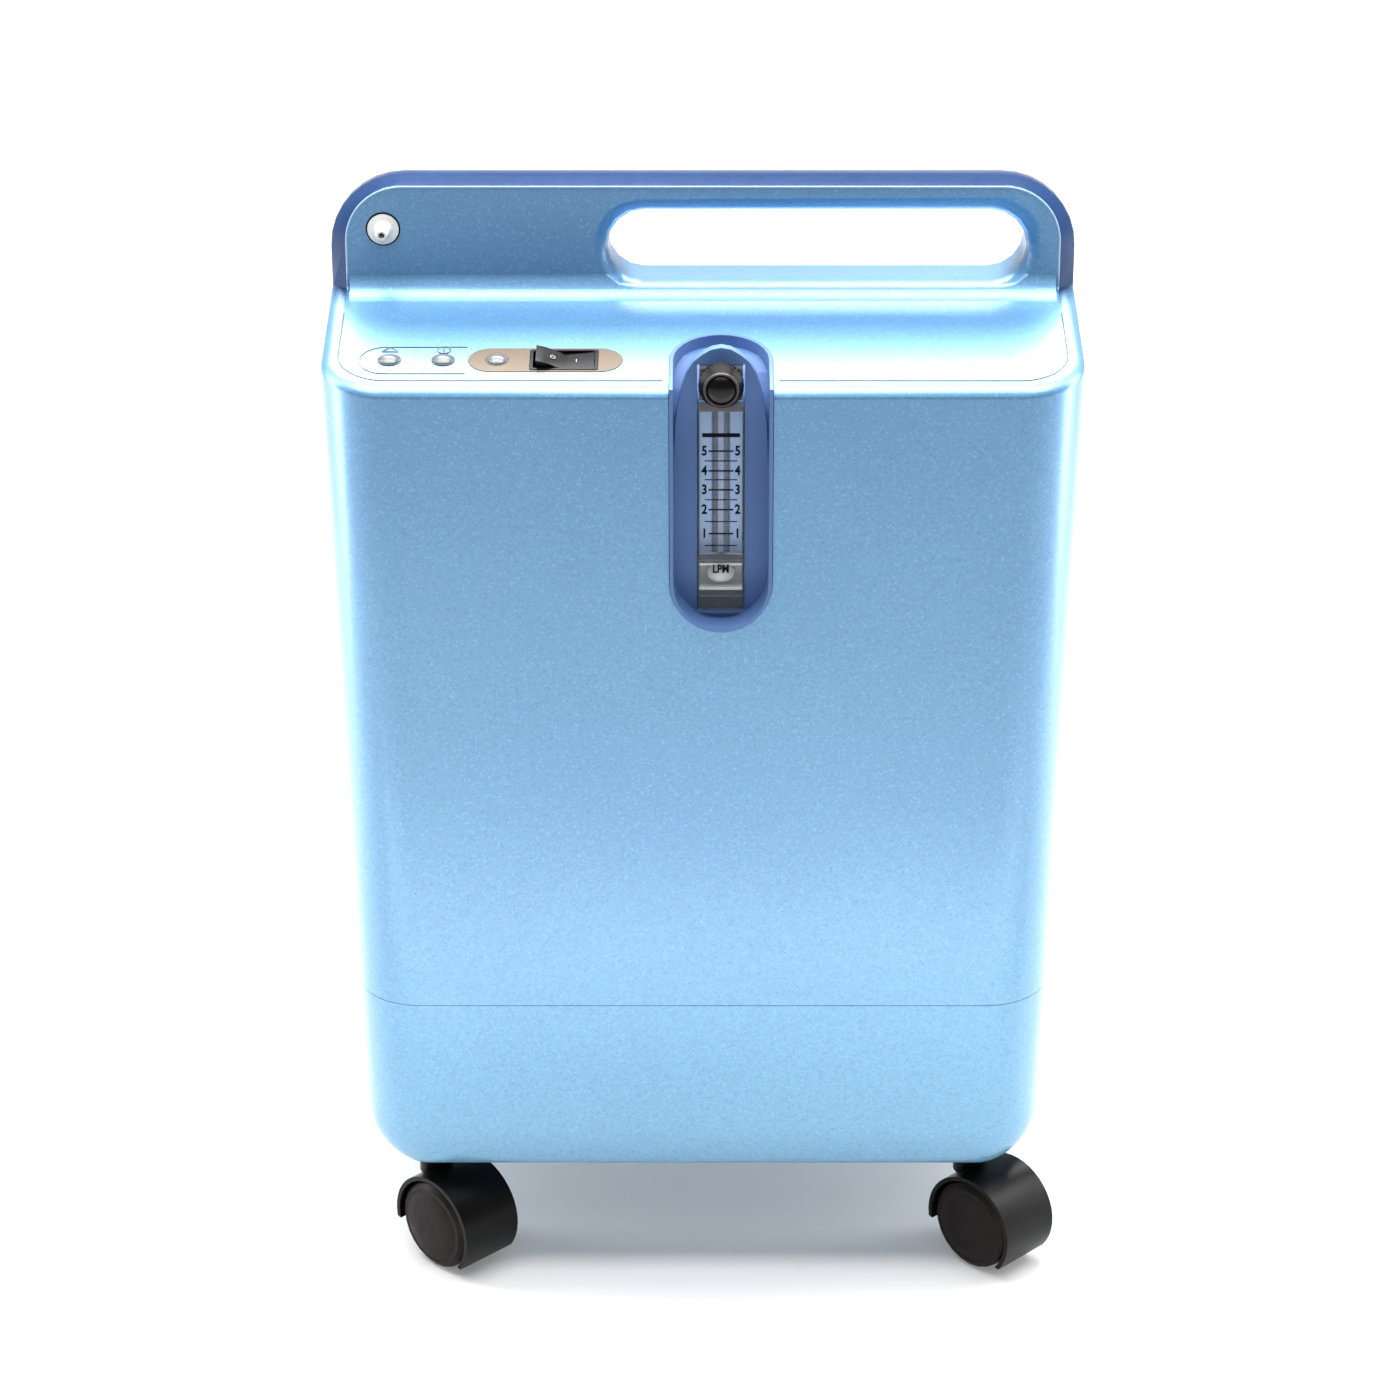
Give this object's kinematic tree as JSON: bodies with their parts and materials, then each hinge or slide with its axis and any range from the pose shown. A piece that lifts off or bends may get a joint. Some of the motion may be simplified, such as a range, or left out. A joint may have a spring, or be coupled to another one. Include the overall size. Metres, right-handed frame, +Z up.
{
  "type": "oxygen concentrator",
  "caption": "Home oxygen concentrator with a tapered cabinet, handle hoop, recessed flow meter, deck controls and swivel casters.",
  "frame": {"origin": "on the floor under the middle of the cabinet", "axes": "+Z up, +Y towards the back, +X to the right seen from the front"},
  "size_m": [0.3866, 0.2591, 0.584],
  "materials": {
    "cabinet_blue": "satin light-blue metallic paint",
    "recess_blue": "satin navy",
    "clear": "polished clear acrylic or tube",
    "black_plastic": "semi-gloss black",
    "white_plastic": "satin white",
    "taupe": "satin bronze",
    "lens_silver": "frosted silver lens",
    "tyre": "matte dark tread",
    "steel": "brushed",
    "cast_alloy": "as cast",
    "rubber": "matte",
    "foam": "open-cell foam",
    "grey_plastic": "moulded",
    "board_green": "solder mask",
    "brass": "turned"
  },
  "bodies": {
    "cabinet": {"front_cabinet": "cabinet_blue", "rear_cabinet": "cabinet_blue", "base_pan": "cabinet_blue", "flowmeter_bezel": "recess_blue", "side_stud": "recess_blue", "flowmeter_body": "clear", "oxygen_outlet": "white_plastic", "panel_plate": "taupe", "switch_housing": "black_plastic", "lens_alarm": "lens_silver", "lens_service": "lens_silver", "lens_power": "lens_silver", "intake_filter": "foam", "power_inlet": "black_plastic", "breaker_body": "black_plastic", "hour_meter": "black_plastic", "parts_tray": "steel", "isolator_a": "rubber", "isolator_b": "rubber", "isolator_c": "rubber", "isolator_d": "rubber", "compressor": "cast_alloy", "cylinder_head_a": "cast_alloy", "cylinder_head_b": "cast_alloy", "fan_shroud": "black_plastic", "sieve_bed_a": "cast_alloy", "sieve_bed_b": "cast_alloy", "product_tank": "white_plastic", "valve_manifold": "cast_alloy", "solenoid_a": "grey_plastic", "solenoid_b": "grey_plastic", "control_board": "board_green", "run_capacitor": "white_plastic", "intake_silencer": "grey_plastic", "heat_exchanger": "cast_alloy", "product_hose": "clear", "outlet_hose": "clear"},
    "power_rocker": {"power_rocker": "black_plastic"},
    "flow_knob": {"flow_knob": "black_plastic", "needle_valve": "brass"},
    "flow_float": {"flow_float": "black_plastic"},
    "filter_door": {"filter_door": "cabinet_blue"},
    "breaker_button": {"breaker_button": "white_plastic"},
    "fan_rotor": {"fan_rotor": "grey_plastic"},
    "caster_front_left": {"caster_front_left_hood": "black_plastic", "caster_front_left_axle": "steel"},
    "caster_front_left_wheel_a": {"caster_front_left_wheel_a": "tyre"},
    "caster_front_left_wheel_b": {"caster_front_left_wheel_b": "tyre"},
    "caster_front_right": {"caster_front_right_hood": "black_plastic", "caster_front_right_axle": "steel"},
    "caster_front_right_wheel_a": {"caster_front_right_wheel_a": "tyre"},
    "caster_front_right_wheel_b": {"caster_front_right_wheel_b": "tyre"},
    "caster_rear_left": {"caster_rear_left_hood": "black_plastic", "caster_rear_left_axle": "steel"},
    "caster_rear_left_wheel_a": {"caster_rear_left_wheel_a": "tyre"},
    "caster_rear_left_wheel_b": {"caster_rear_left_wheel_b": "tyre"},
    "caster_rear_right": {"caster_rear_right_hood": "black_plastic", "caster_rear_right_axle": "steel"},
    "caster_rear_right_wheel_a": {"caster_rear_right_wheel_a": "tyre"},
    "caster_rear_right_wheel_b": {"caster_rear_right_wheel_b": "tyre"}
  },
  "joints": [
    {"name": "power_switch", "type": "hinge", "parent": "cabinet", "child": "power_rocker", "pos_m": [-0.069, -0.09157, 0.51033], "axis": [0, 0.9816, 0.1908], "range_deg": [-14, 0]},
    {"name": "flow_adjust", "type": "hinge", "parent": "cabinet", "child": "flow_knob", "pos_m": [0.009, -0.1093, 0.507], "axis": [0, -1, 0], "range_deg": [-1080, 360]},
    {"name": "float_rise", "type": "slide", "parent": "cabinet", "child": "flow_float", "axis": [0, 0, 1], "range_m": [0, 0.06]},
    {"name": "door_hinge", "type": "hinge", "parent": "cabinet", "child": "filter_door", "pos_m": [0.105, 0.1207, 0.3604], "axis": [1, 0, 0], "range_deg": [-110, 0]},
    {"name": "breaker_reset", "type": "slide", "parent": "cabinet", "child": "breaker_button", "axis": [0, 1, 0], "range_m": [-0.003, 0], "stiffness_N_per_m": 400},
    {"name": "fan_spin", "type": "hinge", "parent": "cabinet", "child": "fan_rotor", "pos_m": [-0.05, -0.01, 0.2188], "axis": [0, 0, 1], "continuous": true},
    {"name": "caster_front_left_swivel", "type": "hinge", "parent": "cabinet", "child": "caster_front_left", "pos_m": [-0.145, -0.0868, 0.0645], "axis": [0, 0, 1], "continuous": true},
    {"name": "caster_front_left_roll_a", "type": "hinge", "parent": "caster_front_left", "child": "caster_front_left_wheel_a", "pos_m": [-0.13369, -0.09811, 0.025], "axis": [0.7071, 0.7071, 0], "continuous": true},
    {"name": "caster_front_left_roll_b", "type": "hinge", "parent": "caster_front_left", "child": "caster_front_left_wheel_b", "pos_m": [-0.13369, -0.09811, 0.025], "axis": [0.7071, 0.7071, 0], "continuous": true},
    {"name": "caster_front_right_swivel", "type": "hinge", "parent": "cabinet", "child": "caster_front_right", "pos_m": [0.145, -0.0868, 0.0645], "axis": [0, 0, 1], "continuous": true},
    {"name": "caster_front_right_roll_a", "type": "hinge", "parent": "caster_front_right", "child": "caster_front_right_wheel_a", "pos_m": [0.15631, -0.09811, 0.025], "axis": [0.7071, 0.7071, 0], "continuous": true},
    {"name": "caster_front_right_roll_b", "type": "hinge", "parent": "caster_front_right", "child": "caster_front_right_wheel_b", "pos_m": [0.15631, -0.09811, 0.025], "axis": [0.7071, 0.7071, 0], "continuous": true},
    {"name": "caster_rear_left_swivel", "type": "hinge", "parent": "cabinet", "child": "caster_rear_left", "pos_m": [-0.145, 0.0868, 0.0645], "axis": [0, 0, 1], "continuous": true},
    {"name": "caster_rear_left_roll_a", "type": "hinge", "parent": "caster_rear_left", "child": "caster_rear_left_wheel_a", "pos_m": [-0.13369, 0.07549, 0.025], "axis": [0.7071, 0.7071, 0], "continuous": true},
    {"name": "caster_rear_left_roll_b", "type": "hinge", "parent": "caster_rear_left", "child": "caster_rear_left_wheel_b", "pos_m": [-0.13369, 0.07549, 0.025], "axis": [0.7071, 0.7071, 0], "continuous": true},
    {"name": "caster_rear_right_swivel", "type": "hinge", "parent": "cabinet", "child": "caster_rear_right", "pos_m": [0.145, 0.0868, 0.0645], "axis": [0, 0, 1], "continuous": true},
    {"name": "caster_rear_right_roll_a", "type": "hinge", "parent": "caster_rear_right", "child": "caster_rear_right_wheel_a", "pos_m": [0.15631, 0.07549, 0.025], "axis": [0.7071, 0.7071, 0], "continuous": true},
    {"name": "caster_rear_right_roll_b", "type": "hinge", "parent": "caster_rear_right", "child": "caster_rear_right_wheel_b", "pos_m": [0.15631, 0.07549, 0.025], "axis": [0.7071, 0.7071, 0], "continuous": true}
  ]
}
